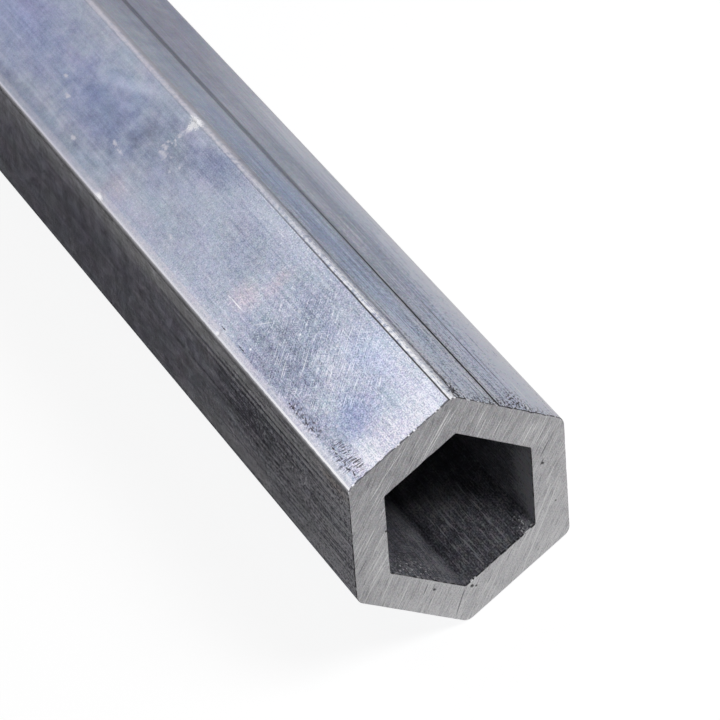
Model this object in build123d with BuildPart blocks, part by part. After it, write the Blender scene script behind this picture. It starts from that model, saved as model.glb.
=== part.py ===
from build123d import *

import os

# Aluminium hexagonal tube: one extruded length of bar stock with a hexagonal bore, sawn square
# at both ends. It lies along X on one of its flats, with +Z up and the origin at the middle of
# the flat that it rests on.

# Driving dimensions, in millimetres
length = 300.0              # from one sawn end to the other
across_flats = 25.0         # outside, from one flat to the opposite one
wall = 4.0                  # flat to flat, the same on all six sides
outer_corner_radius = 1.2   # along the six outside edges
bore_corner_radius = 0.3    # along the six edges inside the bore

# Sizes and places that follow from them
hexagon_sides = 6
outer_apothem = across_flats / 2
bore_apothem = outer_apothem - wall
axis_height = outer_apothem

# The section is drawn square to the tube's axis, with two of its corners on the Y axis, so that
# one flat faces down and one faces up
section_plane = Plane(origin=(-length / 2, 0, axis_height), x_dir=(0, 1, 0), z_dir=(1, 0, 0))

# Hex tube: the outer hexagon with its rounded corners, less the bore's hexagon, which is turned
# the same way and keeps nearly sharp corners
with BuildPart() as hex_tube:
    with BuildSketch(section_plane) as section:
        RegularPolygon(outer_apothem, hexagon_sides, major_radius=False)
        fillet(section.vertices(), radius=outer_corner_radius)
        with BuildSketch(mode=Mode.SUBTRACT) as bore_section:
            RegularPolygon(bore_apothem, hexagon_sides, major_radius=False)
            fillet(bore_section.vertices(), radius=bore_corner_radius)
    extrude(amount=length)

hex_tube.part.label = "hex_tube"

os.makedirs("parts", exist_ok=True)
export_step(hex_tube.part, "parts/hex_tube.step")
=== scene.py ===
"""Looks of an aluminium hexagonal tube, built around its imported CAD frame.

The tube lies along X on one of its flats. Its near end, the sawn one that faces the camera, is at +X.
Places on the stock are given in millimetres: s is the distance back from the near end, and p the
distance round the outside, from the middle of the top flat towards +Y. On a sawn end they are y and z
about the tube's axis.
"""
import math

import bmesh
import bpy
import numpy as np
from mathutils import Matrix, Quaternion, Vector


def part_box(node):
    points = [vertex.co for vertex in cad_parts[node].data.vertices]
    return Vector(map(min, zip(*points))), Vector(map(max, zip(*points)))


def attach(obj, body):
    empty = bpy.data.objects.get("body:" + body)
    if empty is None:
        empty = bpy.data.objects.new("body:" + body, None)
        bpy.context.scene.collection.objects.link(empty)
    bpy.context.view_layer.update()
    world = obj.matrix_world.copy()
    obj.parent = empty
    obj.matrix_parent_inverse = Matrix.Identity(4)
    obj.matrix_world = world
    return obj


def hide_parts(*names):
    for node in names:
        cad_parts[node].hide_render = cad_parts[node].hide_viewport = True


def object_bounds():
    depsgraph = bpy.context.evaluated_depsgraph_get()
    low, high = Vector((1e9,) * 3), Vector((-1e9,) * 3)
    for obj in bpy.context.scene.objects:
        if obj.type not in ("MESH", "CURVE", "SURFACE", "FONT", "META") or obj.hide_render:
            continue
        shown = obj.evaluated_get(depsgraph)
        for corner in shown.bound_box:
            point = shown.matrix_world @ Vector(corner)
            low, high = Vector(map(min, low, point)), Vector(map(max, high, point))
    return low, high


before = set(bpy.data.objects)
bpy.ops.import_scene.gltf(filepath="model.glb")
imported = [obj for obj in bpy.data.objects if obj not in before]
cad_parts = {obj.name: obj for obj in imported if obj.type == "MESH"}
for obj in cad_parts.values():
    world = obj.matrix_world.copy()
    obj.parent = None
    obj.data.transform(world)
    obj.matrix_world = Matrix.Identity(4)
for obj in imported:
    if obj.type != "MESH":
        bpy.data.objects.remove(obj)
cad_low, cad_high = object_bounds()

MM = 0.001
NODE = "hex_tube"
PIECE = "hex_tube_stock"
SEED = 11

# Camera: the photograph's view of the near end. Lens and sensor are in millimetres, lengths in metres

SENSOR_WIDTH = 36
CAMERA_LENS = 254.34
CAMERA_DISTANCE = 0.53104
CAMERA_AZIMUTH = math.radians(0.189)
CAMERA_ELEVATION = math.radians(42.186)
CAMERA_ROLL = math.radians(41.578)
AIM_BACK = 0.02902
AIM_ASIDE = 0.00266
CLIP_START = 0.01
CLIP_END = 100

# The stock's sizes, in millimetres: overall ones from the frame, the rest as its section has them

box_low, box_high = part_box(NODE)
LENGTH = (box_high.x - box_low.x) / MM
NEAR_X = box_high.x / MM
AXIS_Z = (box_high.z - box_low.z) / MM / 2
WALL = 4.0
CORNER_RADIUS = 1.2
BORE_CORNER_RADIUS = 0.3
SIXTH = math.pi / 3

# The flats are counted round from the top one: -1 and 1 slope beside it, and the stock lies on 3
SIDES = range(-1, 5)
SEEN_SIDES = (-1, 0, 1)
LYING_SIDE = 3


def half_flat(apothem, radius):
    """Half the width of a flat, between its two rounded corners."""
    return (apothem - radius) * math.tan(SIXTH / 2)


OUTER_APOTHEM = AXIS_Z
BORE_APOTHEM = OUTER_APOTHEM - WALL
HALF_FLAT = half_flat(OUTER_APOTHEM, CORNER_RADIUS)
CORNER_ARC = CORNER_RADIUS * SIXTH
SIDE_STEP = 2 * HALF_FLAT + CORNER_ARC
BORE_HALF_FLAT = half_flat(BORE_APOTHEM, BORE_CORNER_RADIUS)
BORE_ARC = BORE_CORNER_RADIUS * SIXTH
BORE_STEP = 2 * BORE_HALF_FLAT + BORE_ARC

# Lines that the die left, as grooves: p, half width, depth, from s, to s
GROOVES = (
    (6.68, 0.07, 0.04, -5, 58),
    (7.98, 0.1, 0.045, -5, 48),
    (13.05, 0.1, 0.08, -5, 400),
    (16.14, 0.07, 0.035, 9, 25),
)
GROOVE_START_FADE = 3
GROOVE_STOP_FADE = 12

# Dents in the two corners that the camera sees: s, p, half length, half width, depth
DENTS = (
    (33.5, -6.95, 0.55, 0.4, 0.1),
    (66, -7.05, 1.3, 0.45, 0.12),
    (63.4, 7.2, 0.9, 0.55, 0.07),
    (65.2, 6.95, 1, 0.5, 0.06),
    (1.3, 7.75, 0.6, 0.3, 0.1),
    (3, 7.95, 0.9, 0.25, 0.09),
    (5.4, 7.9, 0.7, 0.22, 0.08),
    (8.6, 8, 1.1, 0.2, 0.07),
    (11.8, 7.9, 0.8, 0.18, 0.06),
)

# Pits in the near end's sawn face: y, z, radius, depth
PITS = (
    (-7.2, 4.75, 0.16, 0.1),
    (-7.6, -5.9, 0.17, 0.12),
    (-4.4, -9.1, 0.22, 0.12),
    (-4.05, -9.45, 0.14, 0.08),
    (9.7, -2.7, 0.18, 0.12),
    (8.2, -7.9, 0.1, 0.06),
)

# Chips out of the near end's outer rim and bore rim: p on that outline, half width, depth
RIM_CHIPS = (
    (-4.9, 0.25, 0.16),
    (-3.2, 0.5, 0.1),
    (-0.4, 0.35, 0.12),
    (2.3, 0.3, 0.08),
    (5.4, 0.4, 0.12),
    (9.1, 0.35, 0.14),
    (11.2, 0.3, 0.12),
    (14.4, 0.45, 0.1),
    (17.2, 0.5, 0.16),
    (19, 0.3, 0.12),
    (-12.6, 0.4, 0.1),
    (-17.4, 0.3, 0.08),
)
BORE_CHIPS = (
    (0.9, 1, 0.12),
    (-3.6, 0.9, 0.08),
    (26.8, 0.4, 0.14),
    (28.6, 0.3, 0.1),
    (31.4, 0.5, 0.08),
    (34.6, 0.4, 0.08),
)

# The mesh: distances between its points, and stretches of its loops (from s, to s, distance)
FLAT_SPACING = 0.45
HIDDEN_FLAT_SPACING = 0.9
ARC_STEPS = 8
GROOVE_PROFILE = (-1.6, -1.0, -0.5, 0.0, 0.5, 1.0, 1.6)
GROOVE_MARGIN = 0.04
FINE_LENGTH = 13
STRETCHES = ((1.2, FINE_LENGTH, 0.4), (FINE_LENGTH, 106, 1.5), (108, LENGTH - 1, 3.0))
BORE_STRETCH = (3, LENGTH - 2, 9.0)
LEAST_SPACING = 0.03
DENT_REACH = 1.1
DENT_LOOPS = 9
END_RINGS = 10
PIT_BORDER = 0.35
PIT_CUTS = 5

# Rims of the cuts: s of their loops, how far they are broken back, and the knots between which this varies
RIM_STATIONS = (0, 0.04, 0.09, 0.16, 0.25, 0.45, 0.8)
RIM_DEPTH = 0.035
RIM_UNEVENNESS = 0.03
RIM_KNOT_SPACING = 1.3
RIM_KNOT_MARGIN = 1
LYING_RIM_SHARE = 0.25

# Boxes of the bake's map, as u0, v0, u1, v1, and what an end's box shows: low y, low z, width, height
OUTSIDE_BOX = (0.004, 0.004, 0.996, 0.6)
BORE_BOX = (0.004, 0.608, 0.996, 0.856)
NEAR_END_BOX = (0.004, 0.864, 0.154, 0.994)
FAR_END_BOX = (0.162, 0.864, 0.312, 0.994)
END_FRAME = (-15, -13, 30, 26)


def add_camera():
    near_end = Vector((NEAR_X * MM, 0, AXIS_Z * MM))
    away = Vector((
        math.cos(CAMERA_ELEVATION) * math.cos(CAMERA_AZIMUTH),
        math.cos(CAMERA_ELEVATION) * math.sin(CAMERA_AZIMUTH),
        math.sin(CAMERA_ELEVATION),
    ))
    data = bpy.data.cameras.new("camera")
    data.sensor_width = SENSOR_WIDTH
    data.lens = CAMERA_LENS
    data.clip_start = CLIP_START
    data.clip_end = CLIP_END
    camera = bpy.data.objects.new("camera", data)
    camera.location = near_end + away * CAMERA_DISTANCE
    aim = near_end + Vector((-AIM_BACK, AIM_ASIDE, 0))
    level = (aim - camera.location).to_track_quat("-Z", "Y")
    camera.rotation_mode = "QUATERNION"
    camera.rotation_quaternion = level @ Quaternion((0, 0, 1), -CAMERA_ROLL)
    bpy.context.scene.collection.objects.link(camera)
    bpy.context.scene.camera = camera


add_camera()


# Mesh of the stock


def outline(p, apothem, radius):
    """Points of a rounded hexagon as (y, z) about the axis, and their outward normals, for places p."""
    half = half_flat(apothem, radius)
    step = 2 * half + radius * SIXTH
    side = np.floor((p + half) / step)
    q = p - side * step
    on_flat = np.minimum(q, half)
    turn = side * SIXTH
    normal = np.stack([np.sin(turn), np.cos(turn)], 1)
    along = np.stack([np.cos(turn), -np.sin(turn)], 1)
    bend = turn + np.maximum(q - half, 0) / radius
    bent = np.stack([np.sin(bend), np.cos(bend)], 1)
    return normal * (apothem - radius) + along * on_flat[:, None] + bent * radius, bent


def outer_stations():
    """p of every point round the outside: closer in the corners and across the grooves."""
    places = []
    for side in SIDES:
        middle = side * SIDE_STEP
        spacing = FLAT_SPACING if side in SEEN_SIDES else HIDDEN_FLAT_SPACING
        count = round(2 * HALF_FLAT / spacing)
        places.extend(middle + np.linspace(-HALF_FLAT, HALF_FLAT, count + 1))
        places.extend(middle + HALF_FLAT + CORNER_ARC * np.arange(1, ARC_STEPS) / ARC_STEPS)
    places = np.array(places)
    for middle, half_width, *_ in GROOVES:
        reach = half_width * GROOVE_PROFILE[-1] + GROOVE_MARGIN
        places = places[np.abs(places - middle) > reach]
        places = np.append(places, middle + half_width * np.array(GROOVE_PROFILE))
    return np.sort(places)


def to_bore(p):
    """The bore outline's own place for a place p of the outside."""
    side = np.floor((p + HALF_FLAT) / SIDE_STEP)
    q = p - side * SIDE_STEP
    on_flat = np.minimum(q, HALF_FLAT) * BORE_HALF_FLAT / HALF_FLAT
    on_arc = np.maximum(q - HALF_FLAT, 0) * BORE_ARC / CORNER_ARC
    return side * BORE_STEP + on_flat + on_arc


def length_stations():
    """s of every loop round the outside: closer at the ends and where the dents are."""
    ends = np.array(RIM_STATIONS)
    places = [ends, LENGTH - ends] + [np.arange(*stretch) for stretch in STRETCHES]
    for s, _, half_length, *_ in DENTS:
        if s > FINE_LENGTH:
            places.append(s + half_length * np.linspace(-DENT_REACH, DENT_REACH, DENT_LOOPS))
    merged = np.sort(np.concatenate(places))
    keep = np.append(True, np.diff(merged) > LEAST_SPACING)
    return merged[keep]


def groove_depth(s, p):
    """How deep the grooves are at one s, for every place p."""
    depth = np.zeros_like(p)
    for middle, half_width, deepest, start, stop in GROOVES:
        fade = min(max((s - start) / GROOVE_START_FADE, 0), max((stop - s) / GROOVE_STOP_FADE, 0), 1)
        depth += deepest * fade * np.clip(1 - np.abs(p - middle) / half_width, 0, 1)
    return depth


def dent_depth(s, p):
    """How deep the dents are at one s, for every place p."""
    depth = np.zeros_like(p)
    for middle_s, middle_p, half_length, half_width, deepest in DENTS:
        away = ((s - middle_s) / half_length) ** 2 + ((p - middle_p) / half_width) ** 2
        depth = np.maximum(depth, deepest * np.clip(1 - away, 0, 1))
    return depth


def rim_wear(p, random, chips):
    """How far a sawn rim is broken back at each place p."""
    knots = np.arange(p[0] - RIM_KNOT_MARGIN, p[-1] + RIM_KNOT_MARGIN, RIM_KNOT_SPACING)
    wear = RIM_DEPTH + RIM_UNEVENNESS * np.interp(p, knots, random.random(len(knots)))
    for middle, half_width, depth in chips:
        wear = np.maximum(wear, depth * np.clip(1 - ((p - middle) / half_width) ** 2, 0, 1))
    return wear


def pairs(s, p):
    """Places on the stock: one s with every p."""
    return np.column_stack([np.full(len(p), s), p])


def closed(places):
    """The same places with the first one again at the end."""
    return np.vstack([places, places[:1]])


def chart(low_u, low_v, span_u, span_v, box):
    """A function that lays places low to low + span onto a box (u0, v0, u1, v1) of the bake's map."""
    u0, v0, u1, v1 = box

    def lay(u, v):
        return u0 + (u1 - u0) * (u - low_u) / span_u, v0 + (v1 - v0) * (v - low_v) / span_v

    return lay


SKIN, SAWN, BORE = range(3)


class Shell:
    """Vertices and faces of the stock while they are made, with both UV maps."""

    def __init__(self, around):
        self.around = around
        self.points, self.faces, self.slots = [], [], []
        self.place_uv, self.bake_uv = [], []
        self.rims = []

    def loop(self, s, yz):
        first = len(self.points)
        self.points.extend((NEAR_X - s, y, AXIS_Z + z) for y, z in yz)
        return first

    def band(self, first_a, first_b, uv_a, uv_b, lay, slot, flip):
        """Quads between two loops. uv_a and uv_b hold one place more than the loops have points."""
        for i in range(self.around):
            j = (i + 1) % self.around
            quad = [first_a + i, first_a + j, first_b + j, first_b + i]
            places = [uv_a[i], uv_a[i + 1], uv_b[i + 1], uv_b[i]]
            if flip:
                quad.reverse()
                places.reverse()
            self.faces.append(quad)
            self.slots.append(slot)
            self.place_uv.extend(places)
            self.bake_uv.extend(lay(u, v) for u, v in places)

    def wall(self, stations, section, p, lay, slot, flip):
        """The outside or the bore, from end to end. Gives back its first and last loop."""
        loops = [self.loop(s, section(s)) for s in stations]
        for k in range(len(stations) - 1):
            uv_a, uv_b = pairs(stations[k], p), pairs(stations[k + 1], p)
            self.band(loops[k], loops[k + 1], uv_a, uv_b, lay, slot, flip)
        return loops[0], loops[-1]

    def end_face(self, s, rim, rim_yz, bore_rim, bore_yz, lay, flip):
        """A sawn end, in rings from its outer rim to the bore's."""
        rings = [(rim, rim_yz)]
        for share in np.arange(1, END_RINGS) / END_RINGS:
            yz = rim_yz + (bore_yz - rim_yz) * share
            rings.append((self.loop(s, yz), yz))
        rings.append((bore_rim, bore_yz))
        for (a, yz_a), (b, yz_b) in zip(rings[:-1], rings[1:]):
            self.band(a, b, closed(yz_a), closed(yz_b), lay, SAWN, flip)
        self.rims += [rim, bore_rim]


def build_shell():
    """The stock's walls and ends, with its grooves, dents, chips and broken rims."""
    random = np.random.default_rng(SEED)
    p = outer_stations()
    bore_p = to_bore(p)
    outer, normals = outline(p, OUTER_APOTHEM, CORNER_RADIUS)
    bore, bore_normals = outline(bore_p, BORE_APOTHEM, BORE_CORNER_RADIUS)
    lying_on = np.abs(p - LYING_SIDE * SIDE_STEP) < HALF_FLAT + CORNER_ARC
    keenness = np.where(lying_on, LYING_RIM_SHARE, 1)
    wear = (rim_wear(p, random, RIM_CHIPS) * keenness, rim_wear(p, random, ()) * keenness)
    bore_wear = (rim_wear(bore_p, random, BORE_CHIPS), rim_wear(bore_p, random, ()))

    def outside(s):
        depth = groove_depth(s, p) + dent_depth(s, p)
        depth = np.maximum(depth, np.maximum(wear[0] - s, wear[1] - (LENGTH - s)))
        return outer - normals * depth[:, None]

    def inside(s):
        depth = np.maximum(np.maximum(bore_wear[0] - s, bore_wear[1] - (LENGTH - s)), 0)
        return bore + bore_normals * depth[:, None]

    shell = Shell(len(p))
    turn, bore_turn = len(SIDES) * SIDE_STEP, len(SIDES) * BORE_STEP
    lay = chart(0, p[0], LENGTH, turn, OUTSIDE_BOX)
    rims = shell.wall(length_stations(), outside, np.append(p, p[0] + turn), lay, SKIN, True)
    ends = np.array(RIM_STATIONS)
    stations = np.concatenate([ends, np.arange(*BORE_STRETCH), LENGTH - ends[::-1]])
    lay = chart(0, bore_p[0], LENGTH, bore_turn, BORE_BOX)
    bore_rims = shell.wall(stations, inside, np.append(bore_p, bore_p[0] + bore_turn), lay, BORE, False)
    for s, rim, bore_rim, box, flip in (
        (0, rims[0], bore_rims[0], NEAR_END_BOX, False),
        (LENGTH, rims[1], bore_rims[1], FAR_END_BOX, True),
    ):
        shell.end_face(s, rim, outside(s), bore_rim, inside(s), chart(*END_FRAME, box), flip)
    return shell


def keep_rims_sharp(mesh, shell):
    rims = set()
    for first in shell.rims:
        for i in range(shell.around):
            rims.add(tuple(sorted((first + i, first + (i + 1) % shell.around))))
    sharp = mesh.attributes.new("sharp_edge", "BOOLEAN", "EDGE")
    sharp.data.foreach_set("value", [tuple(sorted(edge.vertices)) in rims for edge in mesh.edges])


def cut_pits(mesh):
    """Splits the sawn face finely round each pit and presses the pit in."""
    shape = bmesh.new()
    shape.from_mesh(mesh)
    for y, z, radius, depth in PITS:
        centre = Vector((NEAR_X, y, AXIS_Z + z)) * MM
        reach = (radius + PIT_BORDER) * MM
        sawn = [face for face in shape.faces if face.material_index == SAWN]
        near = [face for face in sawn if (face.calc_center_median() - centre).length < reach]
        edges = dict.fromkeys(edge for face in near for edge in face.edges)
        bmesh.ops.subdivide_edges(shape, edges=list(edges), cuts=PIT_CUTS, use_grid_fill=True)
        for vertex in shape.verts:
            away = (vertex.co - centre).length / (radius * MM)
            if away < 1:
                vertex.co.x -= depth * MM * (1 - away * away)
    shape.to_mesh(mesh)
    shape.free()


def build_stock():
    shell = build_shell()
    points = np.clip(np.array(shell.points) * MM, np.array(cad_low), np.array(cad_high))
    mesh = bpy.data.meshes.new(PIECE)
    mesh.from_pydata([tuple(point) for point in points], [], shell.faces)
    mesh.polygons.foreach_set("material_index", shell.slots)
    mesh.polygons.foreach_set("use_smooth", [True] * len(shell.faces))
    for name, uv in (("stock", shell.place_uv), ("OFBake", shell.bake_uv)):
        layer = mesh.uv_layers.new(name=name)
        layer.uv.foreach_set("vector", np.array(uv, dtype=np.float32).ravel())
    keep_rims_sharp(mesh, shell)
    cut_pits(mesh)
    mesh.validate()
    mesh.update()
    piece = bpy.data.objects.new(PIECE, mesh)
    bpy.context.scene.collection.objects.link(piece)
    return piece


# Materials. Heights are in millimetres, places as told at the top


class Pattern:
    """The nodes of one material. Each method adds some and gives back the socket with their result."""

    def __init__(self, name, metallic):
        self.material = bpy.data.materials.new(name)
        self.material.use_nodes = True
        self.tree = self.material.node_tree
        self.shader = self.tree.nodes["Principled BSDF"]
        self.shader.inputs["Metallic"].default_value = metallic
        self.place = self.node("UVMap", uv_map="stock").outputs["UV"]
        apart = self.node("SeparateXYZ")
        self.put(apart.inputs[0], self.place)
        self.x, self.y = apart.outputs[0], apart.outputs[1]

    def node(self, kind, **settings):
        node = self.tree.nodes.new("ShaderNode" + kind)
        for name, value in settings.items():
            setattr(node, name, value)
        return node

    def put(self, socket, value):
        """Links a socket to another one, or gives it a value or a colour."""
        if isinstance(value, bpy.types.NodeSocket):
            self.tree.links.new(value, socket)
        elif isinstance(value, tuple):
            socket.default_value = (*value, 1)
        else:
            socket.default_value = value

    def math(self, operation, *values):
        node = self.node("Math", operation=operation)
        for socket, value in zip(node.inputs, values):
            self.put(socket, value)
        return node.outputs[0]

    def product(self, first, *others):
        for other in others:
            first = self.math("MULTIPLY", first, other)
        return first

    def most(self, first, *others):
        for other in others:
            first = self.math("MAXIMUM", first, other)
        return first

    def slope(self, value, low, high, start=0.0, stop=1.0):
        """start up to low, stop from high on, and a smooth slope between them."""
        node = self.node("MapRange", interpolation_type="SMOOTHSTEP")
        for name, setting in zip(("From Min", "From Max", "To Min", "To Max"), (low, high, start, stop)):
            self.put(node.inputs[name], setting)
        self.put(node.inputs["Value"], value)
        return node.outputs[0]

    def band(self, value, low, high, soft):
        """1 from low to high, falling to 0 over soft on either side."""
        rise = self.slope(value, low - soft, low)
        return self.product(rise, self.slope(value, high, high + soft, 1, 0))

    def line(self, value, middle, half_width):
        """1 along the middle of a line, 0 beyond its half width."""
        away = self.math("ABSOLUTE", self.math("SUBTRACT", value, middle))
        return self.slope(away, half_width * 0.4, half_width, 1, 0)

    def noise(self, size, turn=0, detail=1.0, shift=0.0):
        """Noise whose grains have this size along and across the turned direction."""
        place = self.node("Mapping", vector_type="TEXTURE")
        self.put(place.inputs["Vector"], self.place)
        place.inputs["Location"].default_value = (shift, shift, 0)
        place.inputs["Rotation"].default_value = (0, 0, math.radians(turn))
        place.inputs["Scale"].default_value = (*size, 1)
        node = self.node("TexNoise", noise_dimensions="2D")
        self.put(node.inputs["Vector"], place.outputs[0])
        node.inputs["Scale"].default_value = 1.0
        node.inputs["Detail"].default_value = detail
        return node

    def grain(self, *where, **how):
        return self.noise(*where, **how).outputs[0]

    def spots(self, low, high, *where, **how):
        """1 where a noise is above high, 0 where it is below low."""
        return self.slope(self.grain(*where, **how), low, high)

    def swing(self, socket, amount):
        """A noise made to run from minus half the amount to plus half of it."""
        return self.math("MULTIPLY_ADD", socket, amount, -amount / 2)

    def measured(self, along, across, start):
        """The place measured along some axis."""
        for socket, share in ((self.x, along), (self.y, across)):
            if share:
                start = self.math("MULTIPLY_ADD", socket, share, start)
        return start

    def patch(self, middle, half, turn=0, core=0.35, ragged=None):
        """1 in the core of an ellipse, falling to 0 at its border."""
        cos, sin = math.cos(math.radians(turn)), math.sin(math.radians(turn))
        squares = 0.0
        for along, across, size in ((cos, sin, half[0]), (-sin, cos, half[1])):
            start = -(middle[0] * along + middle[1] * across) / size
            place = self.measured(along / size, across / size, start)
            squares = self.math("MULTIPLY_ADD", place, place, squares)
        if ragged is None:
            return self.slope(squares, core * core, 1.0, 1, 0)
        away = self.math("ADD", self.math("SQRT", squares), ragged)
        return self.slope(away, core, 1.0, 1, 0)

    def patches(self, marks, core=0.35, ragged=None):
        """The most of several patches: x, y, half length, half width, turn."""
        found = 0.0
        for x, y, a, b, turn in marks:
            found = self.math("MAXIMUM", self.patch((x, y), (a, b), turn, core, ragged), found)
        return found

    def total(self, start, *terms):
        """start plus each amount times how far its socket is from its middle value."""
        for amount, socket, middle in terms:
            if isinstance(start, bpy.types.NodeSocket):
                moved = self.math("ADD", start, -amount * middle) if middle else start
            else:
                moved = start - amount * middle
            start = self.math("MULTIPLY_ADD", socket, amount, moved)
        return start

    def tones(self, value, stops):
        node = self.node("ValToRGB")
        elements = node.color_ramp.elements
        while len(elements) < len(stops):
            elements.new(0.5)
        for element, (position, colour) in zip(elements, stops):
            element.position = position
            element.color = (*colour, 1)
        self.put(node.inputs[0], value)
        return node.outputs[0]

    def blend(self, share, under, over, kind="MIX"):
        """under, changed by over as far as share says."""
        node = self.node("Mix", data_type="RGBA", blend_type=kind)
        for socket, value in zip((node.inputs[0], node.inputs[6], node.inputs[7]), (share, under, over)):
            self.put(socket, value)
        return node.outputs[2]

    def hued(self, colour, share, *where, **how):
        """colour with each of its channels varied by a noise of its own."""
        return self.blend(share, colour, self.noise(*where, **how).outputs["Color"], "OVERLAY")

    def rim(self, from_end, grain, narrow, wide, soft):
        """1 at the rim of a cut, over a width that a noise varies."""
        width = self.slope(self.grain(grain, detail=3.0, shift=53), 0.35, 0.7, narrow, wide)
        return self.slope(self.math("SUBTRACT", from_end, width), 0, soft, 1, 0)

    def finish(self, colour, roughness, height):
        bump = self.node("Bump")
        bump.inputs["Distance"].default_value = MM
        self.put(bump.inputs["Height"], height)
        self.put(self.shader.inputs["Base Color"], colour)
        self.put(self.shader.inputs["Roughness"], roughness)
        self.put(self.shader.inputs["Normal"], bump.outputs[0])
        return self.material


# Tones of the metal's film, from its darkest to bare bright metal
FILM_TONES = (
    (0.0, (0.12, 0.133, 0.185)),
    (0.35, (0.265, 0.298, 0.4)),
    (0.6, (0.4, 0.435, 0.545)),
    (0.85, (0.565, 0.588, 0.69)),
    (1.0, (0.73, 0.742, 0.82)),
)
# The same on the dark side, where the film looks more neutral
DARK_SIDE_TONES = (
    (0.0, (0.125, 0.122, 0.15)),
    (0.35, (0.285, 0.28, 0.335)),
    (0.6, (0.44, 0.432, 0.5)),
    (0.85, (0.6, 0.59, 0.655)),
    (1.0, (0.76, 0.75, 0.79)),
)
FILM_LEVEL = 0.66

# Metal that is bare near the cut and bare far from it, which also colours the painted highlights, metal
# pinkish or pale, what darkens it, and a painted shade for a corner
BARE_AND_HIGHLIGHT_NEAR = (0.92, 0.92, 0.95)
BARE_AND_HIGHLIGHT_FAR = (0.68, 0.65, 0.71)
PINKISH_METAL = (0.58, 0.54, 0.59)
PALE_FLECK = (0.74, 0.72, 0.78)
GRIME = (0.03, 0.028, 0.03)
BROWN_GRIME = (0.06, 0.052, 0.066)
PAINTED_CORNER_SHADE = (0.34, 0.335, 0.355)
DARK_RIM = (0.06, 0.058, 0.064)
DARK_BORE_RIM = (0.014, 0.014, 0.015)

# The flats that the camera sees, as p from, p to and softness, and strips in its two corners: painted
# shade and a painted highlight in the corner at -Y, a painted highlight with wear in the one at +Y, and
# dust in both
TOP_FLAT = (-6.4, 6.4, 0.2)
RIGHT_FLAT = (7.9, 21, 0.1)
LEFT_FLAT = (-21.2, -7.3, 0.1)
LEFT_PAINTED_SHADE = (-7.95, -7.3)
LEFT_PAINTED_HIGHLIGHT = (-7.23, -7.05)
LEFT_DUST = (-7.0, -6.4)
RIGHT_WEAR_AND_HIGHLIGHT = (6.86, 7.5)
RIGHT_DUST = (6.95, 7.95)

# Where the top flat is rubbed with crossing scratches: middle, half size
RUBBED = ((19.5, -0.5), (15.5, 8.0))

# Lighter and darker clouds of the film, and painted light and shade: the top flat lighter near the cut and
# darker far back, the dark side lighter along its corners, and the right flat lighter at its outer edge:
# s, p, half length, half width, turn, lightness
FILM_CLOUDS_AND_PAINTED_LIGHT = (
    (-1, 1.5, 10, 8, 0, 0.24),
    (8, 5.6, 15, 3.6, 0, 0.22),
    (38, 6, 17, 2.4, 0, 0.16),
    (2, -3.4, 5, 3, 0, 0.24),
    (21.5, -4.4, 14.5, 4.2, 3, -0.24),
    (24, 1, 9.5, 5, 25, -0.18),
    (10, -5.4, 7, 2.2, 0, -0.06),
    (25, -6, 7, 0.9, 0, -0.14),
    (8.2, -1.6, 4.4, 3.4, 10, -0.12),
    (34.5, -1.5, 4, 6, -12, 0.1),
    (40.5, 1.4, 8.5, 4.6, 0, -0.09),
    (55.5, 5, 8.5, 3.2, -14, -0.2),
    (65, 2.6, 11, 5.4, 12, -0.2),
    (69.5, -0.5, 6, 5.6, 0, -0.06),
    (60, -4.6, 8, 2.4, 0, 0.04),
    (76, -0.5, 14, 7, 0, -0.2),
    (77.5, 4.1, 8.5, 1.3, -20, 0.18),
    (98, 0, 18, 8, 0, -0.05),
    (85, -6.2, 34, 1.7, 0, -0.2),
    (4, 13, 30, 8, 0, 0.2),
    (4, 17, 17, 3.8, 0, 0.22),
    (42, 9.6, 36, 2.6, 0, -0.08),
    (10, 20.4, 36, 5, 0, 0.56),
    (55, 20.6, 60, 4.6, 0, 0.32),
    (6, 8.9, 24, 1.9, 0, 0.3),
    (50, 16.6, 46, 1.2, 0, -0.12),
    (94, 15, 26, 9, 0, -0.17),
    (100, 20.5, 40, 3, 0, -0.16),
    (4, 20.2, 16, 3.2, 0, 0.42),
    (-1, -14, 16, 13, 0, 0.18),
    (0, -20, 12, 2.8, 0, 0.16),
    (0, -9.5, 11, 2.2, 0, 0.56),
    (48.8, -19.9, 2.2, 1.1, 0, -0.36),
    (55.5, -19.6, 3, 0.9, 0, -0.14),
    (24, -13, 14, 4.6, 0, -0.36),
    (75, -14.5, 60, 9, 0, -0.12),
    (40, -8.2, 110, 3, 0, 0.34),
    (14, -20.8, 52, 4.2, 0, 0.5),
    (34, -16.6, 24, 1.8, 0, 0.12),
    (72, -14, 30, 4, 0, -0.08),
)
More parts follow.
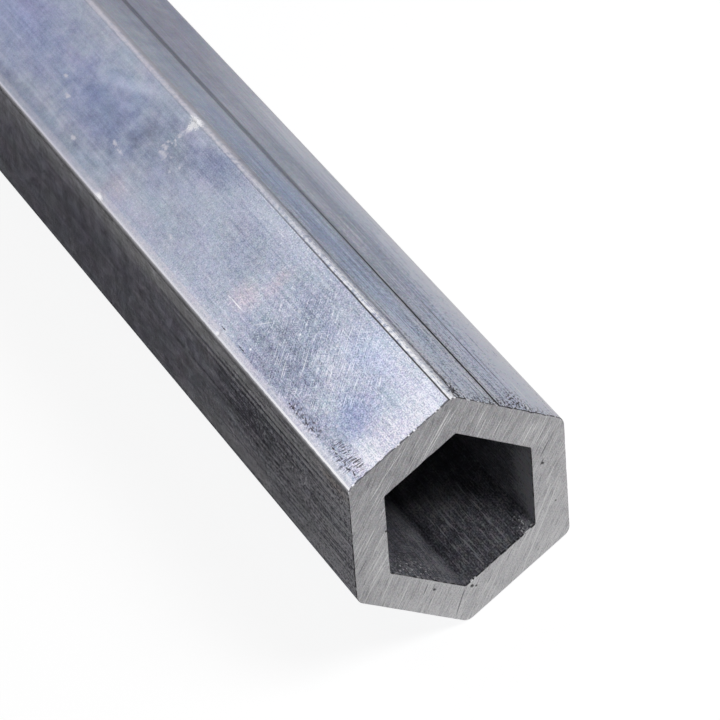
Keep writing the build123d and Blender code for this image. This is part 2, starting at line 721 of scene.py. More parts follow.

# Clouds of another hue, and painted light that lightens the right flat's outer edge: s, p, half length,
# half width, turn, share, what the film is multiplied by
HUE_CLOUDS_AND_PAINTED_LIGHT = (
    (8.2, -1.5, 5.2, 4, 10, 0.6, (0.84, 0.87, 1.08)),
    (13, 3.6, 9, 3.6, 0, 0.55, (0.93, 0.97, 1.1)),
    (0.5, -0.5, 6, 7.5, 0, 0.65, (1.08, 1.02, 0.98)),
    (19, -5.8, 13, 1.8, 0, 0.6, (1.08, 0.99, 1.03)),
    (55.5, 5, 8.5, 3, -14, 0.55, (0.92, 0.92, 1.05)),
    (34.8, -2, 3.6, 2.8, 0, 0.85, (1.15, 1.01, 0.98)),
    (33, 1.8, 1.8, 3.4, 0, 0.8, (1.15, 1.01, 0.98)),
    (64.8, -4.9, 4.2, 2.6, 0, 0.9, (1.14, 1.01, 0.98)),
    (78.5, 4.2, 6, 2, -18, 0.6, (0.97, 1.04, 1.02)),
    (78, 0.5, 14, 6.5, 0, 0.8, (0.9, 0.93, 1.1)),
    (104, 0, 26, 7.5, 0, 0.9, (0.92, 0.93, 1.12)),
    (38, 10.4, 60, 3.2, 0, 1, (0.9, 0.99, 1.12)),
    (14, 15.6, 30, 3, 0, 0.8, (0.95, 0.99, 1.1)),
    (30, 18.8, 60, 4, 0, 0.7, (0.97, 1.0, 1.06)),
    (96, 16, 34, 7, 0, 0.8, (1.04, 0.96, 0.98)),
    (20, 21.4, 60, 2.6, 0, 1, (1.16, 1.13, 1.08)),
    (4, -8.4, 6, 1.2, 0, 0.8, (1.1, 1.02, 0.94)),
    (60, -9, 90, 2.4, 0, 0.6, (1.0, 1.01, 0.96)),
)

# Bright scratches and nicks: s, p, half length, half width, turn
BARE_MARKS = (
    (34.9, -3.3, 2.2, 0.09, 0),
    (36.7, -3.35, 0.5, 0.07, 0),
    (33.5, -6.95, 0.5, 0.36, 0),
    (66, -7, 1.2, 0.4, 0),
    (64.2, 6.85, 1.9, 0.62, 0),
    (64, 6.4, 1.4, 0.6, 0),
    (64.1, 5.95, 0.75, 0.65, 0),
    (19.5, -2.3, 3, 0.045, 47),
    (21.3, -4.2, 1.75, 0.045, 45),
    (23.1, -3.4, 1.9, 0.038, 47),
    (15.8, -0.5, 2.4, 0.045, 45),
    (9.4, 2.6, 1.2, 0.05, 42),
    (17.2, 4.1, 2.3, 0.038, 47),
    (18.6, 3.8, 2, 0.045, 57),
    (24.7, -3.2, 1.3, 0.038, 45),
    (29.3, -2.4, 1.8, 0.045, -45),
    (27.6, -5.35, 0.24, 0.18, 0),
    (23.9, -0.3, 0.18, 0.14, 0),
    (5, 18.4, 2.6, 0.1, 0),
    (1.2, 17.3, 1.3, 0.16, 8),
    (3.1, 16.2, 0.8, 0.09, 4),
    (5.8, 15.9, 0.6, 0.09, -5),
    (7, 17.4, 0.9, 0.08, 0),
    (12, 14.6, 1.2, 0.07, 0),
)

# Dull pale flecks: s, p, half length, half width, turn
PALE_MARKS = (
    (60.6, 0.9, 0.4, 0.22, 25),
    (59.9, 1.95, 0.35, 0.22, 10),
    (62.5, 2, 0.7, 0.22, -15),
    (64.4, 2.3, 0.7, 0.8, 0),
    (63.9, 1.6, 1.2, 0.62, 10),
    (64.6, 3.1, 1.1, 0.36, -25),
    (63.9, 3.5, 0.9, 0.34, 30),
    (64.3, 4.6, 0.4, 0.7, 0),
    (63.9, 5.6, 0.7, 0.7, 0),
    (69.6, -1.95, 1, 0.5, 0),
    (71.4, -1.65, 1, 0.34, 10),
    (77.4, -4.9, 0.9, 0.4, 0),
    (84.4, -2.1, 1.1, 0.42, 0),
    (87.4, -0.8, 0.7, 0.3, 0),
    (51.4, -3.9, 0.9, 0.26, 0),
    (8.6, -3.7, 0.35, 0.26, 0),
    (11.5, -3.6, 0.4, 0.28, 0),
    (16.2, -1, 0.34, 0.24, 0),
    (26.9, 1.2, 0.34, 0.28, 0),
    (18.4, 1.8, 0.4, 0.26, 0),
    (8.3, 0.3, 0.36, 0.34, 0),
)

# Dark strokes on the top flat along its corner at -Y: s, p, half length, half width, turn
DARK_STROKES = (
    (1.6, -4.7, 0.62, 0.11, -78),
    (2, -4.75, 0.66, 0.1, -78),
    (2.5, -4.6, 0.72, 0.12, -76),
    (2.95, -4.8, 0.6, 0.11, -78),
    (3.6, -4.9, 0.46, 0.09, -75),
    (4.7, -5, 0.36, 0.09, -60),
    (5.5, -4.7, 0.46, 0.09, -80),
    (6.55, -4.9, 0.66, 0.1, -82),
    (1.3, -5.65, 0.55, 0.11, 10),
    (2.4, -5.8, 0.55, 0.13, -15),
    (3.4, -5.7, 0.42, 0.11, 20),
    (4.4, -5.6, 0.5, 0.1, -10),
    (5.6, -5.7, 0.42, 0.1, 0),
    (6.4, -5.6, 0.42, 0.13, 0),
    (11, -5.95, 0.48, 0.12, 0),
    (12.3, -6, 0.52, 0.13, 0),
    (13.3, -5.9, 0.25, 0.11, 0),
    (14.5, -6.05, 0.36, 0.11, 0),
    (15.7, -6, 0.55, 0.15, 0),
    (16.5, -5.95, 0.3, 0.11, 0),
    (28.6, -6.05, 1.3, 0.08, 0),
    (33.3, -6.05, 0.7, 0.08, 0),
)

# Fine lines along the dark side: p, half width, lightness, how far from the near end
SIDE_LINES = (
    (-10.85, 0.18, -0.8, 54),
    (-10.38, 0.15, 1, 58),
    (-9.92, 0.18, -0.9, 58),
    (-9.48, 0.15, 1.05, 60),
    (-9.1, 0.14, -0.7, 52),
    (-8.72, 0.12, 0.7, 44),
    (-8.35, 0.12, -0.5, 34),
    (-11.6, 0.15, 0.26, 40),
    (-12.3, 0.18, -0.22, 44),
    (-13.05, 0.14, 0.24, 40),
    (-13.7, 0.16, -0.2, 46),
    (-14.75, 0.18, 0.44, 66),
    (-14.28, 0.24, -0.36, 66),
    (-15.45, 0.15, 0.24, 44),
    (-16.1, 0.18, -0.22, 44),
    (-17.2, 0.18, 0.22, 44),
    (-18.6, 0.16, -0.24, 44),
    (-19.4, 0.16, 0.2, 40),
)

# Rough dark blots by the cut: s, p, half length, half width, core, darkness
BLOTS = (
    (0, 14, 3.2, 8.5, 0.15, 0.95),
    (1.5, 16.4, 4.5, 1.6, 0.3, 0.95),
    (0.5, 8.2, 6, 1.3, 0.3, 0.95),
    (2.6, -9.4, 4.2, 1.8, 0.2, 0.9),
    (1, -19, 3, 4, 0.2, 0.6),
    (12, -5.8, 6, 0.9, 0.3, 0.65),
)


class Skin(Pattern):
    """The mill skin's masks and noises, which its layers share."""

    def __init__(self):
        super().__init__("mill_skin", metallic=1.0)
        self.near = self.slope(self.x, 12, 82, 1, 0.22)
        self.on_top = self.band(self.y, *TOP_FLAT)
        self.on_right = self.band(self.y, *RIGHT_FLAT)
        self.on_left = self.band(self.y, *LEFT_FLAT)
        self.speckle = self.grain((0.21, 0.17))
        self.mottle = self.grain((0.65, 0.5), detail=1.5, shift=7)
        self.smudge = self.grain((2.4, 1.7), detail=2.0, shift=3)
        self.cloud = self.grain((17, 7), detail=2.0, shift=31)
        self.drawn = self.grain((45, 0.42), detail=2.0, shift=5)
        self.hairline = self.grain((12, 0.14), shift=11)
        self.ragged = self.swing(self.smudge, 0.5)


def film(pat):
    """How light the film is, with its clouds, fine grain and drawn streaks, and painted light and shade on
    the flats.
    """
    s, on_right, on_left = pat.x, pat.on_right, pat.on_left
    streaky = pat.total(
        0.2,
        (1.0, pat.product(on_right, pat.slope(s, 25, 80, 0.24, 0.04)), 0),
        (1.0, pat.product(on_left, pat.slope(s, 25, 60, 0.22, 0.02)), 0),
    )
    smudgy = pat.total(0.2, (0.04, on_right, 0), (-0.17, on_left, 0))
    # Painted shade and light: the top flat is made a little darker and the right flat a little lighter.
    shade = pat.total(FILM_LEVEL, (0.15, pat.cloud, 0.5), (-0.06, pat.on_top, 0), (0.03, on_right, 0))
    shade = pat.math("MULTIPLY_ADD", pat.swing(pat.drawn, 1.0), streaky, shade)
    shade = pat.math("MULTIPLY_ADD", pat.swing(pat.smudge, 1.0), smudgy, shade)
    sided = pat.math("MAXIMUM", on_right, on_left)
    combed = pat.product(pat.swing(pat.hairline, 1.0), pat.total(0.4, (0.55, sided, 0)))
    fine = pat.total(combed, (1.05, pat.speckle, 0.5), (0.55, pat.mottle, 0.5))
    coarser = pat.total(
        1.0,
        (1.0, pat.product(on_right, pat.slope(s, 5, 36, 1.5, 0.0)), 0),
        (1.0, pat.product(on_left, pat.slope(s, 5, 40, 3.4, -0.4)), 0),
    )
    fine = pat.product(fine, pat.near, coarser)
    shade = pat.math("ADD", fine, shade)
    # The film's clouds, with painted light and shade among them.
    for x, y, a, b, turn, lightness in FILM_CLOUDS_AND_PAINTED_LIGHT:
        shade = pat.total(shade, (lightness, pat.patch((x, y), (a, b), turn, 0.1, pat.ragged), 0))
    return shade


def scratched(pat, shade):
    """The film with the scratches of the top flat and the lines of the dark side."""
    rubbed = pat.patch(*RUBBED, 0, 0.5, pat.ragged)
    light_scratch = pat.spots(0.59, 0.67, (2.4, 0.085), 47)
    dark_scratch = pat.spots(0.6, 0.7, (2.6, 0.13), 44, shift=19)
    crossing = pat.spots(0.64, 0.7, (2.4, 0.1), -40, shift=27)
    shade = pat.total(
        shade,
        (0.42, pat.product(light_scratch, rubbed, pat.on_top), 0),
        (-0.26, pat.product(dark_scratch, rubbed, pat.on_top), 0),
        (0.22, pat.product(crossing, rubbed, pat.on_top), 0),
    )
    for middle, half_width, lightness, far in SIDE_LINES:
        reach = pat.slope(pat.x, 6, far, lightness, lightness * 0.05)
        line = pat.line(pat.y, middle, half_width)
        shade = pat.total(shade, (1.0, pat.product(line, reach), 0))
    return shade


def coloured(pat, shade):
    """The film's colour for its lightness, with clouds and grain of other hues, and painted light on the
    right flat's outer edge.
    """
    top, side = pat.tones(shade, FILM_TONES), pat.tones(shade, DARK_SIDE_TONES)
    colour = pat.blend(pat.on_left, top, side)
    for x, y, a, b, turn, share, tint in HUE_CLOUDS_AND_PAINTED_LIGHT:
        mask = pat.patch((x, y), (a, b), turn, 0.1, pat.ragged)
        colour = pat.blend(pat.product(mask, share), colour, tint, "MULTIPLY")
    hue_share = pat.total(pat.slope(pat.x, 10, 70, 0.1, 0.05), (0.12, pat.on_right, 0))
    colour = pat.hued(colour, hue_share, (0.6, 0.35), shift=41)
    return pat.hued(colour, 0.06, (5, 2.2), detail=2.0, shift=47)


def with_corners(pat, colour):
    """The colour with its corners rubbed bright and dusty, painted shade and a painted highlight on the
    corner at -Y, a painted highlight with wear on the corner at +Y, and where these are bare or
    highlighted.
    """
    s, p, mottle = pat.x, pat.y, pat.mottle
    place_in_side = pat.math("FLOORED_MODULO", p, SIDE_STEP)
    from_corner = pat.math("ABSOLUTE", pat.math("SUBTRACT", place_in_side, SIDE_STEP / 2))
    elsewhere = pat.slope(pat.math("ABSOLUTE", p), 8.5, 9.0)
    uneven = pat.math("ADD", from_corner, pat.swing(mottle, 0.5))
    hidden_worn = pat.product(pat.slope(uneven, 0.3, 0.6, 1, 0), elsewhere, 0.8)
    # Painted shade: the corner at -Y is darkened where it turns towards the dark side.
    painted_corner_shade = pat.band(p, *LEFT_PAINTED_SHADE, 0.1)
    colour = pat.blend(pat.product(painted_corner_shade, 0.8), colour, PAINTED_CORNER_SHADE)
    # Painted highlight: a thin bright line along the corner at -Y, in the colour of bare metal.
    painted_highlight_line = pat.product(
        pat.band(pat.math("ADD", p, pat.swing(mottle, 0.1)), *LEFT_PAINTED_HIGHLIGHT, 0.08),
        pat.slope(s, 10, 30, 1.0, 0.48),
    )
    # Painted highlight and wear: a streaked bright strip along the corner at +Y, in the colour of bare
    # metal.
    swerve = pat.product(pat.swing(mottle, 0.5), pat.slope(s, 15, 50, 1.0, 0.3))
    wandering = pat.math("ADD", p, swerve)
    streaks = pat.total(pat.swing(mottle, 0.8), (1.0, pat.grain((3.5, 0.12), detail=2.0, shift=33), 0))
    wear_and_highlight_strip = pat.product(
        pat.band(wandering, *RIGHT_WEAR_AND_HIGHLIGHT, 0.14),
        pat.slope(streaks, 0.32, 0.66, 0.0, 1.0),
        pat.slope(s, 10, 48, 1.0, 0.35),
    )
    # Where the corners are worn bare or carry the painted highlights.
    wear_and_highlights = pat.most(hidden_worn, painted_highlight_line, wear_and_highlight_strip)
    dusty = pat.most(
        pat.product(pat.band(p, *LEFT_DUST, 0.25), pat.slope(s, 30, 85, 0.7, 0.4)),
        pat.product(pat.band(p, *RIGHT_DUST, 0.25), pat.slope(s, 26, 62, 0.0, 0.8)),
    )
    dust = pat.blend(pat.slope(s, 10, 45), PALE_FLECK, PINKISH_METAL)
    dusty = pat.product(dusty, pat.math("MULTIPLY_ADD", mottle, 0.9, 0.1))
    colour = pat.blend(dusty, colour, dust)
    # Bare metal, which also colours the painted highlights.
    bare = pat.blend(pat.slope(s, 25, 75), BARE_AND_HIGHLIGHT_NEAR, BARE_AND_HIGHLIGHT_FAR)
    return pat.blend(wear_and_highlights, colour, bare), wear_and_highlights


def with_flecks(pat, colour):
    """The colour with pale flecks and bare nicks on it, and where the nicks are."""
    pale = pat.patches(PALE_MARKS, 0.0, pat.swing(pat.mottle, 2.4))
    colour = pat.blend(pat.product(pale, 0.58), colour, PALE_FLECK)
    bare = pat.patches(BARE_MARKS, 0.3, pat.swing(pat.speckle, 1.2))
    return pat.blend(pat.product(bare, 0.85), colour, BARE_AND_HIGHLIGHT_NEAR), bare


def dark_lines(pat):
    """The dark lines that the die left in and beside its grooves."""
    s, p = pat.x, pat.y
    wave = pat.swing(pat.grain((5, 60), detail=2.0, shift=2), 0.1)
    wavering = pat.math("ADD", p, wave)
    torn = pat.swing(pat.grain((0.8, 0.3), detail=2.0, shift=13), 0.55)
    tearing = pat.math("ADD", p, pat.product(torn, pat.slope(s, 2, 16, 1, 0.35)))
    return pat.most(
        pat.product(pat.line(wavering, 6.72, 0.13), pat.slope(s, 15, 62, 0.9, 0.14)),
        pat.product(
            pat.line(tearing, 7.99, 0.27),
            pat.slope(s, 4, 17, 0.8, 0.4),
            pat.slope(s, 38, 56, 1.0, 0.3),
        ),
        pat.product(pat.line(tearing, 8.02, 0.28), pat.band(s, 33, 41, 4), 0.55),
        pat.product(pat.line(wavering, 13.05, 0.24), pat.slope(s, 15, 80, 1.0, 0.35)),
        pat.product(pat.line(wavering, 13.12, 0.62), pat.slope(s, 10, 60, 0.12, 0.5)),
        pat.product(pat.line(p, 16.14, 0.13), pat.band(s, 11, 21, 5), 0.75),
        pat.product(pat.line(p, 16.8, 0.09), pat.band(s, 7, 12, 2), 0.55),
    )


def rough_marks(pat):
    """The scribbled and blotted dark marks, most of them near the cut."""
    stroke = pat.spots(0.56, 0.63, (0.8, 0.17), -72, shift=17)
    blot = pat.spots(0.51, 0.58, (0.5, 0.26), 20, detail=1.5, shift=29)
    scribbled = pat.most(
        pat.product(stroke, pat.patch((3.8, -5.3), (4.8, 1.7), 0, 0.5, pat.ragged), 0.7),
        pat.product(pat.patches(DARK_STROKES, 0.45, pat.swing(pat.speckle, 1.3)), 0.95),
    )
    blotted = pat.product(blot, pat.most(*[
        pat.product(pat.patch((x, y), (a, b), 0, core, pat.ragged), darkness)
        for x, y, a, b, core, darkness in BLOTS
    ]))
    return pat.most(scribbled, blotted)


def with_rims(pat, colour):
    """The colour with the rims of both cuts, dark with bright bits of burr."""
    from_end = pat.math("MINIMUM", pat.x, pat.math("SUBTRACT", LENGTH, pat.x))
    rim = pat.rim(from_end, (4, 0.9), 0.06, 0.22, 0.05)
    burr = pat.spots(0.6, 0.68, (3, 0.6), detail=2.0, shift=59)
    return pat.blend(pat.product(rim, 0.85), colour, pat.blend(burr, DARK_RIM, BARE_AND_HIGHLIGHT_NEAR))


def make_skin():
    pat = Skin()
    colour = coloured(pat, scratched(pat, film(pat)))
    colour, wear_and_highlights = with_corners(pat, colour)
    colour, bare = with_flecks(pat, colour)
    lines = dark_lines(pat)
    marks = rough_marks(pat)
    colour = pat.blend(marks, colour, BROWN_GRIME)
    colour = pat.blend(lines, colour, GRIME)
    colour = with_rims(pat, colour)
    dirt = pat.most(marks, lines)
    roughness = pat.total(
        0.4,
        (0.14, pat.smudge, 0.5),
        (0.12, pat.mottle, 0.5),
        (-0.14, wear_and_highlights, 0),
        (-0.1, bare, 0),
        (0.22, dirt, 0),
    )
    height = pat.total(
        0.0,
        (0.0045, pat.speckle, 0.5),
        (0.008, pat.mottle, 0.5),
        (0.005, pat.drawn, 0.5),
        (0.003, pat.hairline, 0.5),
    )
    return pat.finish(colour, roughness, height)


# Deeper saw lines across the near end, the bright ones lightened as painted highlights where they catch
# the light, and dark ones: y, z, half length, half width, turn
GLINTING_SAW_LINES = (
    (4.1, 10.45, 3.3, 0.12, 24),
    (3.6, 9.9, 2.8, 0.08, 24.5),
    (5.7, 10.55, 1.3, 0.09, 23),
    (-2.4, 10.9, 2.4, 0.07, 18),
    (-5.2, 9.8, 1.7, 0.07, 21),
    (-11.3, 0.6, 2.1, 0.13, 24),
    (-10.5, 1.3, 2.6, 0.09, 24),
    (-10, 2.4, 2.2, 0.09, 25),
    (-9.2, 5.4, 1.9, 0.09, 27),
    (-8.6, 4.2, 1.6, 0.07, 26),
    (7.25, 6.6, 1.9, 0.11, 28),
    (7.7, 7.6, 1.6, 0.08, 28),
    (8.4, 5.2, 1.5, 0.07, 27),
    (10.6, 1.8, 1.8, 0.1, 27),
    (11.6, 0.6, 1.5, 0.07, 28),
    (6.3, -7.5, 4.6, 0.12, 35.5),
    (7.6, -7.6, 3.6, 0.09, 35.5),
    (4.2, -9.9, 3, 0.09, 33),
    (2.4, -11.1, 2.6, 0.09, 33),
    (9.6, -4.6, 1.7, 0.07, 32),
    (-11.2, -1.3, 2, 0.08, 30),
    (-10.4, -3.6, 2, 0.08, 30),
    (-8.6, -6.9, 1.8, 0.07, 32),
    (-2.2, -10.6, 2.2, 0.06, 32),
)
DARK_SAW_LINES = (
    (-6.4, -9.65, 2.1, 0.1, 38),
    (-8.2, -5, 0.8, 0.07, 35),
    (10.9, -1.3, 1.3, 0.08, 28),
    (9.7, -2.5, 0.6, 0.1, 30),
    (-11.6, 3.2, 1.4, 0.06, 24),
)
SAW_TURN = 27.0
PIT_DARK_SPREAD = 1.2
SAWN_TONES = (
    (0.0, (0.3, 0.296, 0.315)),
    (0.5, (0.595, 0.588, 0.612)),
    (1.0, (0.96, 0.955, 0.965)),
)


def make_sawn_end():
    pat = Pattern("sawn_end", metallic=1.0)
    stroke = pat.grain((16, 0.3), turn=SAW_TURN, detail=2.0)
    hair = pat.grain((7, 0.1), turn=SAW_TURN + 3, shift=5)
    sweep = pat.grain((24, 2.0), turn=SAW_TURN - 4, shift=9)
    smudge = pat.grain((2.0, 1.7), detail=2.0, shift=3)
    speckle = pat.grain((0.19, 0.17), shift=1)
    bright_hair = pat.spots(0.63, 0.69, (6, 0.075), turn=SAW_TURN - 1, shift=15)
    dark_hair = pat.spots(0.6, 0.68, (1.6, 0.1), turn=SAW_TURN + 6, shift=25)
    shade = pat.total(
        0.5,
        (0.21, stroke, 0.5),
        (0.34, hair, 0.5),
        (0.2, sweep, 0.5),
        (0.22, smudge, 0.5),
        (0.6, speckle, 0.5),
        (0.5, bright_hair, 0),
        (-0.3, dark_hair, 0),
        # Painted light and shade: the sawn face is darker at its top, lighter towards its bottom and
        # lighter towards -Y and +Y, as the light falls on it.
        (-1.0, pat.slope(pat.y, -13, 13, -0.2, 0.12), 0),
        (1.0, pat.slope(pat.x, -1, 9, 0.0, 0.05), 0),
        (1.0, pat.slope(pat.x, -13, 4, 0.07, 0.0), 0),
        (0.12, pat.patch((-9.5, 5.5), (7.5, 7.5), 0, 0.2), 0),
    )
    glinting_lines = pat.product(pat.patches(GLINTING_SAW_LINES, 0.3), pat.math("MULTIPLY_ADD", hair, 1.0, 0.4))
    dark = pat.patches(DARK_SAW_LINES, 0.2)
    shade = pat.total(shade, (0.8, glinting_lines, 0), (-0.95, dark, 0))
    colour = pat.tones(shade, SAWN_TONES)
    colour = pat.hued(colour, 0.08, (0.5, 0.4), shift=21)
    # The pits are darkened out to a little beyond their edges.
    pits = pat.patches([(y, z, PIT_DARK_SPREAD * r, PIT_DARK_SPREAD * r, 0) for y, z, r, _ in PITS], 0.4)
    colour = pat.blend(pat.product(pits, 0.85), colour, GRIME)
    roughness = pat.total(0.44, (0.12, stroke, 0.5), (0.12, smudge, 0.5), (-0.1, glinting_lines, 0))
    height = pat.total(
        0.0,
        (0.006, stroke, 0.5),
        (0.004, hair, 0.5),
        (0.004, speckle, 0.5),
        (-0.035, glinting_lines, 0),
        (-0.008, dark, 0),
    )
    return pat.finish(colour, roughness, height)


# Places round the bore: the middle of its bottom, and of the lower walls at +Y and at -Y
BORE_BOTTOM = 3 * BORE_STEP
BORE_RIGHT = 2 * BORE_STEP
BORE_LEFT = 4 * BORE_STEP

# Light streaks along the bottom of the bore: place beside its middle, half width, lightness
BORE_STREAKS = (
    (1.9, 0.17, 1.05),
    (1.4, 0.09, 0.3),
    (3.1, 0.16, 0.28),
    (2.6, 0.08, 0.2),
    (-0.2, 0.1, 0.32),
    (-0.75, 0.12, 0.3),
    (-1.55, 0.18, 0.8),
    (-2.1, 0.1, 0.2),
    (0.5, 0.08, 0.22),
)

# Lighter and darker clouds in the bore, most of them painted light and shade: lighter where light falls in
# at the mouth, darker in the fold by the lower wall at -Y and where the bottom lies in shade: s, place
# round it, half length, half width, core, lightness
BORE_CLOUDS_AND_PAINTED_LIGHT = (
    (0.5, BORE_LEFT - 1, 9, 5, 0.2, 0.16),
    (9, BORE_LEFT - 3.5, 13, 1, 0.2, 0.14),
    (7, BORE_LEFT + 0.4, 9, 2.6, 0.2, -0.13),
    (0.5, BORE_RIGHT, 5.5, 6.5, 0.1, 0.55),
    (9, BORE_BOTTOM + 3.3, 6.5, 2.2, 0.2, -0.15),
    (6, BORE_BOTTOM - 2.7, 5.5, 2, 0.2, -0.06),
    (11, BORE_BOTTOM + 4.55, 10.5, 0.6, 0.2, -0.24),
    (14, BORE_BOTTOM + 2.8, 10, 1.4, 0.2, 0.1),
    (15, BORE_BOTTOM - 2.6, 9, 2.1, 0.2, -0.09),
    (12.5, BORE_BOTTOM + 0.5, 4, 2.4, 0.2, 0.22),
)
BORE_TONES = (
    (0.0, (0.03, 0.03, 0.037)),
    (0.5, (0.15, 0.15, 0.178)),
    (1.0, (0.43, 0.43, 0.46)),
)


def make_bore_skin():
    pat = Pattern("bore_skin", metallic=0.5)
    s, p = pat.x, pat.y
    drawn = pat.grain((30, 0.45), detail=2.0, shift=5)
    hairline = pat.grain((2.4, 0.15), detail=1.5, shift=11)
    smudge = pat.grain((2.6, 1.3), detail=2.0, shift=3)
    speckle = pat.grain((0.3, 0.18), shift=1)
    shade = pat.total(0.52, (0.24, drawn, 0.5), (0.45, smudge, 0.5))
    fine = pat.total(0.0, (0.95, hairline, 0.5), (1.2, speckle, 0.5))
    shade = pat.math("MULTIPLY_ADD", fine, pat.slope(s, 7, 24, 1.0, 0.35), shade)
    broken = pat.product(pat.slope(hairline, 0.42, 0.6), pat.band(s, 3.5, 11, 3.5), 1.3)
    for beside, half_width, lightness in BORE_STREAKS:
        streak = pat.line(p, BORE_BOTTOM + beside, half_width)
        shade = pat.total(shade, (lightness, pat.product(streak, broken), 0))
    # Painted light and shade in the bore, with a few clouds among them.
    for x, y, a, b, core, lightness in BORE_CLOUDS_AND_PAINTED_LIGHT:
        shade = pat.total(shade, (lightness, pat.patch((x, y), (a, b), 0, core), 0))

    # dirt by the mouth, and painted highlights there: bright specks in the colour of bare metal
    by_mouth = pat.most(
        pat.patch((1.0, BORE_LEFT + 1.0), (4.5, 5.0), 0, 0.2),
        pat.patch((1.0, BORE_BOTTOM - 3.9), (2.8, 1.2), 0, 0.3),
    )
    painted_glints = pat.spots(0.66, 0.71, (0.38, 0.32), shift=37)
    dark_bits = pat.spots(0.62, 0.7, (0.9, 0.5), detail=1.5, shift=43)
    shade = pat.total(
        shade,
        (0.3, pat.product(by_mouth, pat.swing(smudge, 1.0)), 0),
        (-0.4, pat.product(dark_bits, by_mouth), 0),
    )
    colour = pat.hued(pat.tones(shade, BORE_TONES), 0.12, (1.2, 0.6), shift=49)
    colour = pat.blend(pat.product(painted_glints, by_mouth), colour, BARE_AND_HIGHLIGHT_NEAR)

    # the rim of the cut, dark with bright bits of burr in two corners
    rim = pat.rim(s, (4, 1.2), 0.08, 0.24, 0.06)
    burred = pat.most(
        pat.patch((0.0, BORE_BOTTOM + 3.7), (1.0, 1.5), 0, 0.5),
        pat.patch((0.0, BORE_BOTTOM - 3.8), (1.0, 1.2), 0, 0.5),
        0.25,
    )
    burr = pat.product(pat.spots(0.46, 0.54, (3, 0.5), detail=2.0, shift=61), burred)
    colour = pat.blend(pat.product(rim, 0.9), colour, pat.blend(burr, DARK_BORE_RIM, BARE_AND_HIGHLIGHT_NEAR))
    roughness = pat.total(0.55, (0.15, smudge, 0.5))
    height = pat.total(0.0, (0.008, drawn, 0.5), (0.005, hairline, 0.5), (0.006, speckle, 0.5))
    return pat.finish(colour, roughness, height)


stock = build_stock()
for material in (make_skin(), make_sawn_end(), make_bore_skin()):
    stock.data.materials.append(material)
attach(stock, "root")
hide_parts(NODE)


# Floor, backdrop and light, in millimetres

FLOOR_SIZE = 20000
FLOOR_DROP = 0.2
FLOOR_WHITE = 0.8
SEEN_SHADING = 0.24
SEEN_GLOW = 0.88
WORLD_SEEN = 1.0
WORLD_DIFFUSE = 0.15

# Studio cards: how far those on the floor are below the stock, their edges in x and in y, and black
CARD_DROP = 0.1
CARDS_BACK = -330
STOCK_FRONT = 149.5
CARDS_FRONT = 420
DARK_SIDE = -90
STOCK_SIDE = 17
RIGHT_SIDE = 120
BLACK = 0.02


def background_share(tree):
    """1 for the rays that find the plain white background: camera, glossy and transmission ones."""
    path = tree.nodes.new("ShaderNodeLightPath")
    share = path.outputs["Is Camera Ray"]
    for ray in ("Is Glossy Ray", "Is Transmission Ray"):
        either = tree.nodes.new("ShaderNodeMath")
        either.operation = "MAXIMUM"
        tree.links.new(share, either.inputs[0])
        tree.links.new(path.outputs[ray], either.inputs[1])
        share = either.outputs[0]
    return share


def add_stage_sheet(name, corners):
    """A flat sheet of the stage through four corners, in millimetres, with an empty node tree."""
    mesh = bpy.data.meshes.new(name)
    mesh.from_pydata([tuple(v * MM for v in corner) for corner in corners], [], [(0, 1, 2, 3)])
    sheet = bpy.data.objects.new(name, mesh)
    bpy.context.scene.collection.objects.link(sheet)
    material = bpy.data.materials.new(name)
    material.use_nodes = True
    tree = material.node_tree
    tree.nodes.clear()
    mesh.materials.append(material)
    return sheet, tree


def grey_colour(grey):
    return grey, grey, grey, 1


def add_floor():
    size, z = FLOOR_SIZE, -FLOOR_DROP
    corners = [(-size, -size, z), (size, -size, z), (size, size, z), (-size, size, z)]
    _, tree = add_stage_sheet("floor", corners)
    out = tree.nodes.new("ShaderNodeOutputMaterial")
    mix = tree.nodes.new("ShaderNodeMixShader")
    plain = tree.nodes.new("ShaderNodeBsdfDiffuse")
    plain.inputs["Color"].default_value = grey_colour(FLOOR_WHITE)
    shaded = tree.nodes.new("ShaderNodeBsdfDiffuse")
    shaded.inputs["Color"].default_value = grey_colour(SEEN_SHADING)
    glow = tree.nodes.new("ShaderNodeEmission")
    glow.inputs["Strength"].default_value = SEEN_GLOW
    seen = tree.nodes.new("ShaderNodeAddShader")
    tree.links.new(shaded.outputs[0], seen.inputs[0])
    tree.links.new(glow.outputs[0], seen.inputs[1])
    tree.links.new(background_share(tree), mix.inputs[0])
    tree.links.new(plain.outputs[0], mix.inputs[1])
    tree.links.new(seen.outputs[0], mix.inputs[2])
    tree.links.new(mix.outputs[0], out.inputs[0])


def add_world():
    world = bpy.data.worlds.new("studio")
    world.use_nodes = True
    tree = world.node_tree
    background = tree.nodes["Background"]
    background.inputs["Color"].default_value = grey_colour(1)
    level = tree.nodes.new("ShaderNodeMapRange")
    level.inputs["To Min"].default_value = WORLD_DIFFUSE
    level.inputs["To Max"].default_value = WORLD_SEEN
    tree.links.new(background_share(tree), level.inputs["Value"])
    tree.links.new(level.outputs[0], background.inputs["Strength"])
    bpy.context.scene.world = world


def add_card(name, corners, grey):
    """A flat studio card of an even grey, seen only where the metal mirrors it."""
    card, tree = add_stage_sheet(name, corners)
    for ray in ("camera", "diffuse", "transmission", "volume_scatter", "shadow"):
        setattr(card, "visible_" + ray, False)
    out = tree.nodes.new("ShaderNodeOutputMaterial")
    glow = tree.nodes.new("ShaderNodeEmission")
    glow.inputs["Color"].default_value = grey_colour(grey)
    tree.links.new(glow.outputs[0], out.inputs[0])


def add_lying_card(name, x0, x1, y0, y1, grey):
    z = -CARD_DROP
    add_card(name, [(x0, y0, z), (x1, y0, z), (x1, y1, z), (x0, y1, z)], grey)


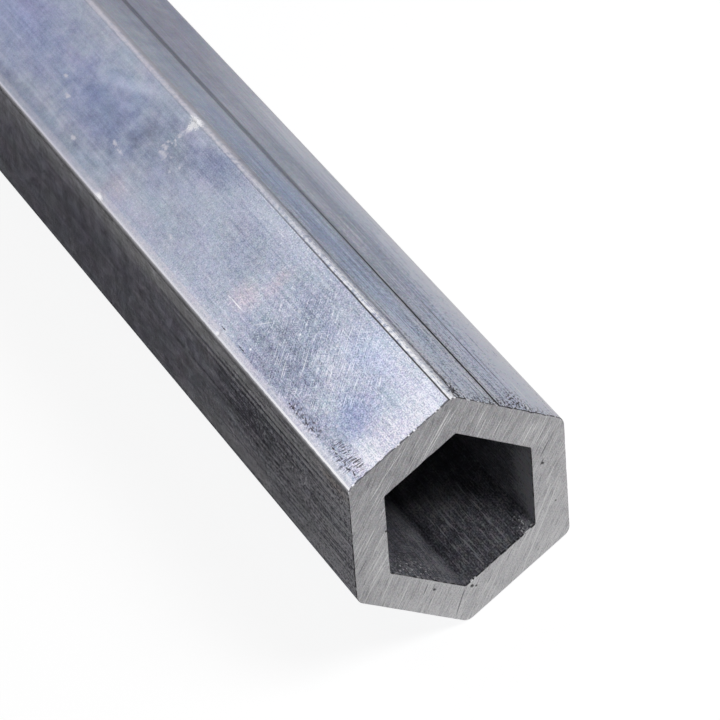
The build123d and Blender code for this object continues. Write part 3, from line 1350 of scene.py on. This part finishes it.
def add_side_card(name, x0, x1, y, height, grey):
    add_card(name, [(x0, y, 0), (x1, y, 0), (x1, y, height), (x0, y, height)], grey)


def add_end_card(name, x, y0, y1, z0, z1, grey):
    add_card(name, [(x, y0, z0), (x, y1, z0), (x, y1, z1), (x, y0, z1)], grey)


def add_lamp(name, place, aim, size, power, mirrored=True):
    """A square lamp. One that isn't mirrored doesn't show in the metal and lights the rest."""
    data = bpy.data.lights.new(name, "AREA")
    data.size = size * MM
    data.energy = power
    lamp = bpy.data.objects.new(name, data)
    lamp.location = Vector(place) * MM
    lamp.rotation_euler = (Vector(aim) - Vector(place)).to_track_quat("-Z", "Y").to_euler()
    lamp.visible_glossy = mirrored
    bpy.context.scene.collection.objects.link(lamp)


add_floor()
add_world()
add_lying_card("card_dark_floor", CARDS_BACK, CARDS_FRONT, DARK_SIDE, -STOCK_SIDE, BLACK)
near_card = ((140, -STOCK_SIDE), (CARDS_FRONT, -STOCK_SIDE), (CARDS_FRONT, DARK_SIDE), (38, DARK_SIDE))
add_card("card_dark_near", [(x, y, -CARD_DROP / 2) for x, y in near_card], 0.16)
add_side_card("card_dark_side", CARDS_BACK, CARDS_FRONT, DARK_SIDE, 32, BLACK)
add_lying_card("card_right_floor", CARDS_BACK, CARDS_FRONT, STOCK_SIDE, RIGHT_SIDE, 0.55)
add_side_card("card_right_side", CARDS_BACK, CARDS_FRONT, RIGHT_SIDE, 60, 0.55)
add_lying_card("card_front_floor", STOCK_FRONT, CARDS_FRONT, -STOCK_SIDE, STOCK_SIDE, 0.5)
add_end_card("card_back", x=-300, y0=-150, y1=150, z0=0, z1=330, grey=0.42)
add_end_card("card_behind_camera", x=700, y0=-160, y1=160, z0=250, z1=900, grey=0.12)
add_lamp("back_lamp", place=(-236, 40, 560), aim=(150, 0, 25), size=260, power=0.26)
add_lamp("key_lamp", place=(490, 320, 352), aim=(150, 0, 12), size=160, power=2.0, mirrored=False)

bpy.context.scene.view_settings.view_transform = "Standard"
